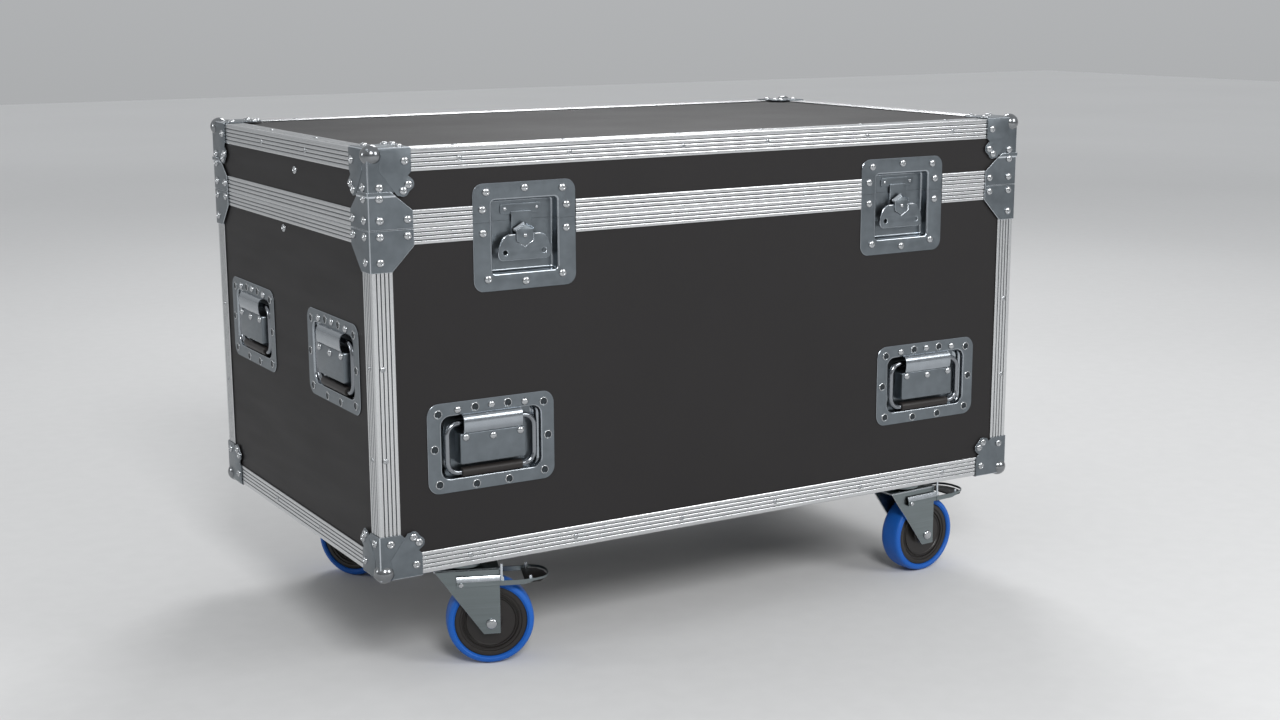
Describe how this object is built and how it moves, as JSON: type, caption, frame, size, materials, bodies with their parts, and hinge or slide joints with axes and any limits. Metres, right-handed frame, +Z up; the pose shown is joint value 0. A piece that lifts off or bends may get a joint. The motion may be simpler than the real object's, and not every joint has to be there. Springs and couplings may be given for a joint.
{
  "type": "flight case",
  "caption": "Wheeled flight case of dark laminated plywood in riveted aluminium extrusions, with ball corners, recessed latches, recessed handles and a hinged lid.",
  "frame": {"origin": "on the floor under the middle of the case", "axes": "+X along the case's length, -Y out of the front with the latches, +Z up"},
  "size_m": [1.0972, 0.642, 0.7418],
  "materials": {
    "blue_tyre": "blue elastic tyre on a dark hub",
    "bright_wire": "bright-plated wire with a dark sleeve",
    "dark_laminate": "dark laminated plywood, satin",
    "ridged_aluminium": "bright brushed aluminium extrusion",
    "zinc_fork": "zinc-plated pressed steel",
    "zinc_plate": "zinc-plated pressed steel"
  },
  "bodies": {
    "body": {"back_left_caster_plate": "zinc_plate", "back_panel": "dark_laminate", "back_right_caster_plate": "zinc_plate", "ball_corner_bottom_back_left": "zinc_plate", "ball_corner_bottom_back_right": "zinc_plate", "ball_corner_bottom_front_left": "zinc_plate", "ball_corner_bottom_front_right": "zinc_plate", "body_edge_frame": "ridged_aluminium", "body_rim_frame": "ridged_aluminium", "body_rim_strip": "ridged_aluminium", "floor_panel": "dark_laminate", "front_handle_left_dish": "zinc_plate", "front_handle_right_dish": "zinc_plate", "front_left_caster_plate": "zinc_plate", "front_panel": "dark_laminate", "front_right_caster_plate": "zinc_plate", "left_end_panel": "dark_laminate", "left_handle_back_dish": "zinc_plate", "left_handle_front_dish": "zinc_plate", "left_hinge_body_leaf": "zinc_plate", "left_latch_body_dish": "zinc_plate", "right_end_panel": "dark_laminate", "right_handle_back_dish": "zinc_plate", "right_handle_front_dish": "zinc_plate", "right_hinge_body_leaf": "zinc_plate", "right_latch_body_dish": "zinc_plate"},
    "lid": {"ball_corner_top_back_left": "zinc_plate", "ball_corner_top_back_right": "zinc_plate", "ball_corner_top_front_left": "zinc_plate", "ball_corner_top_front_right": "zinc_plate", "left_hinge_lid_leaf": "zinc_plate", "left_latch_lid_dish": "zinc_plate", "lid_box": "dark_laminate", "lid_edge_frame": "ridged_aluminium", "lid_rim_frame": "ridged_aluminium", "lid_rim_strip": "ridged_aluminium", "right_hinge_lid_leaf": "zinc_plate", "right_latch_lid_dish": "zinc_plate"},
    "left_latch_turn": {"left_latch_spindle": "zinc_plate"},
    "left_latch_hook": {"left_latch_hook": "zinc_plate"},
    "left_latch_wing": {"left_latch_wing": "zinc_plate"},
    "right_latch_turn": {"right_latch_spindle": "zinc_plate"},
    "right_latch_hook": {"right_latch_hook": "zinc_plate"},
    "right_latch_wing": {"right_latch_wing": "zinc_plate"},
    "front_handle_left_bail": {"front_handle_left_bail": "bright_wire"},
    "front_handle_right_bail": {"front_handle_right_bail": "bright_wire"},
    "left_handle_back_bail": {"left_handle_back_bail": "bright_wire"},
    "left_handle_front_bail": {"left_handle_front_bail": "bright_wire"},
    "right_handle_back_bail": {"right_handle_back_bail": "bright_wire"},
    "right_handle_front_bail": {"right_handle_front_bail": "bright_wire"},
    "front_left_caster": {"front_left_caster_fork": "zinc_fork"},
    "front_left_wheel": {"front_left_caster_wheel": "blue_tyre"},
    "front_left_brake": {"front_left_brake": "zinc_fork"},
    "front_right_caster": {"front_right_caster_fork": "zinc_fork"},
    "front_right_wheel": {"front_right_caster_wheel": "blue_tyre"},
    "front_right_brake": {"front_right_brake": "zinc_fork"},
    "back_left_caster": {"back_left_caster_fork": "zinc_fork"},
    "back_left_wheel": {"back_left_caster_wheel": "blue_tyre"},
    "back_right_caster": {"back_right_caster_fork": "zinc_fork"},
    "back_right_wheel": {"back_right_caster_wheel": "blue_tyre"}
  },
  "joints": [
    {"name": "lid_hinge", "type": "hinge", "parent": "body", "child": "lid", "pos_m": [0, 0.3178, 0.6315], "axis": [-1, 0, 0], "range_deg": [0, 105]},
    {"name": "left_latch_turn", "type": "hinge", "parent": "body", "child": "left_latch_turn", "pos_m": [-0.3197, -0.3145, 0.6111], "axis": [0, 1, 0], "range_deg": [0, 180]},
    {"name": "left_hook_slide", "type": "slide", "parent": "body", "child": "left_latch_hook", "axis": [0, 0, 1], "range_m": [0, 0.01]},
    {"name": "left_wing_fold", "type": "hinge", "parent": "left_latch_turn", "child": "left_latch_wing", "pos_m": [-0.3197, -0.3111, 0.6111], "axis": [-1, 0, 0], "range_deg": [0, 90]},
    {"name": "right_latch_turn", "type": "hinge", "parent": "body", "child": "right_latch_turn", "pos_m": [0.3197, -0.3145, 0.6111], "axis": [0, 1, 0], "range_deg": [0, 180]},
    {"name": "right_hook_slide", "type": "slide", "parent": "body", "child": "right_latch_hook", "axis": [0, 0, 1], "range_m": [0, 0.01]},
    {"name": "right_wing_fold", "type": "hinge", "parent": "right_latch_turn", "child": "right_latch_wing", "pos_m": [0.3197, -0.3111, 0.6111], "axis": [-1, 0, 0], "range_deg": [0, 90]},
    {"name": "front_handle_left_pull", "type": "hinge", "parent": "body", "child": "front_handle_left_bail", "pos_m": [-0.375, -0.3096, 0.3645], "axis": [-1, 0, 0], "range_deg": [0, 90], "stiffness_Nm_per_rad": 0.06, "springref_deg": -28.65},
    {"name": "front_handle_right_pull", "type": "hinge", "parent": "body", "child": "front_handle_right_bail", "pos_m": [0.375, -0.3096, 0.3645], "axis": [-1, 0, 0], "range_deg": [0, 90], "stiffness_Nm_per_rad": 0.06, "springref_deg": -28.65},
    {"name": "left_handle_back_pull", "type": "hinge", "parent": "body", "child": "left_handle_back_bail", "pos_m": [-0.5371, 0.165, 0.47], "axis": [0, 1, 0], "range_deg": [0, 90], "stiffness_Nm_per_rad": 0.06, "springref_deg": -28.65},
    {"name": "left_handle_front_pull", "type": "hinge", "parent": "body", "child": "left_handle_front_bail", "pos_m": [-0.5371, -0.165, 0.47], "axis": [0, 1, 0], "range_deg": [0, 90], "stiffness_Nm_per_rad": 0.06, "springref_deg": -28.65},
    {"name": "right_handle_back_pull", "type": "hinge", "parent": "body", "child": "right_handle_back_bail", "pos_m": [0.5371, 0.165, 0.47], "axis": [0, -1, 0], "range_deg": [0, 90], "stiffness_Nm_per_rad": 0.06, "springref_deg": -28.65},
    {"name": "right_handle_front_pull", "type": "hinge", "parent": "body", "child": "right_handle_front_bail", "pos_m": [0.5371, -0.165, 0.47], "axis": [0, -1, 0], "range_deg": [0, 90], "stiffness_Nm_per_rad": 0.06, "springref_deg": -28.65},
    {"name": "front_left_swivel", "type": "hinge", "parent": "body", "child": "front_left_caster", "pos_m": [-0.39, -0.243, 0.165], "axis": [0, 0, 1], "continuous": true},
    {"name": "front_left_roll", "type": "hinge", "parent": "front_left_caster", "child": "front_left_wheel", "pos_m": [-0.3563, -0.25567, 0.06196], "axis": [0.3518, 0.9361, 0], "continuous": true},
    {"name": "front_left_brake_press", "type": "hinge", "parent": "front_left_caster", "child": "front_left_brake", "pos_m": [-0.39562, -0.24089, 0.12281], "axis": [0.3518, 0.9361, 0], "range_deg": [0, 9], "stiffness_Nm_per_rad": 1, "springref_deg": -11.46},
    {"name": "front_right_swivel", "type": "hinge", "parent": "body", "child": "front_right_caster", "pos_m": [0.39, -0.243, 0.165], "axis": [0, 0, 1], "continuous": true},
    {"name": "front_right_roll", "type": "hinge", "parent": "front_right_caster", "child": "front_right_wheel", "pos_m": [0.42591, -0.24049, 0.06196], "axis": [-0.0698, 0.9976, 0], "continuous": true},
    {"name": "front_right_brake_press", "type": "hinge", "parent": "front_right_caster", "child": "front_right_brake", "pos_m": [0.38401, -0.24342, 0.12281], "axis": [-0.0698, 0.9976, 0], "range_deg": [0, 9], "stiffness_Nm_per_rad": 1, "springref_deg": -11.46},
    {"name": "back_left_swivel", "type": "hinge", "parent": "body", "child": "back_left_caster", "pos_m": [-0.39, 0.243, 0.165], "axis": [0, 0, 1], "continuous": true},
    {"name": "back_left_roll", "type": "hinge", "parent": "back_left_caster", "child": "back_left_wheel", "pos_m": [-0.37039, 0.21281, 0.06196], "axis": [0.8387, 0.5446, 0], "continuous": true},
    {"name": "back_right_swivel", "type": "hinge", "parent": "body", "child": "back_right_caster", "pos_m": [0.39, 0.243, 0.165], "axis": [0, 0, 1], "continuous": true},
    {"name": "back_right_roll", "type": "hinge", "parent": "back_right_caster", "child": "back_right_wheel", "pos_m": [0.42521, 0.25049, 0.06196], "axis": [-0.2079, 0.9781, 0], "continuous": true}
  ],
  "couplings": [
    {"joint": "left_hook_slide", "follows": "left_latch_turn", "m_per_rad": 0.003183},
    {"joint": "right_hook_slide", "follows": "right_latch_turn", "m_per_rad": 0.003183}
  ]
}
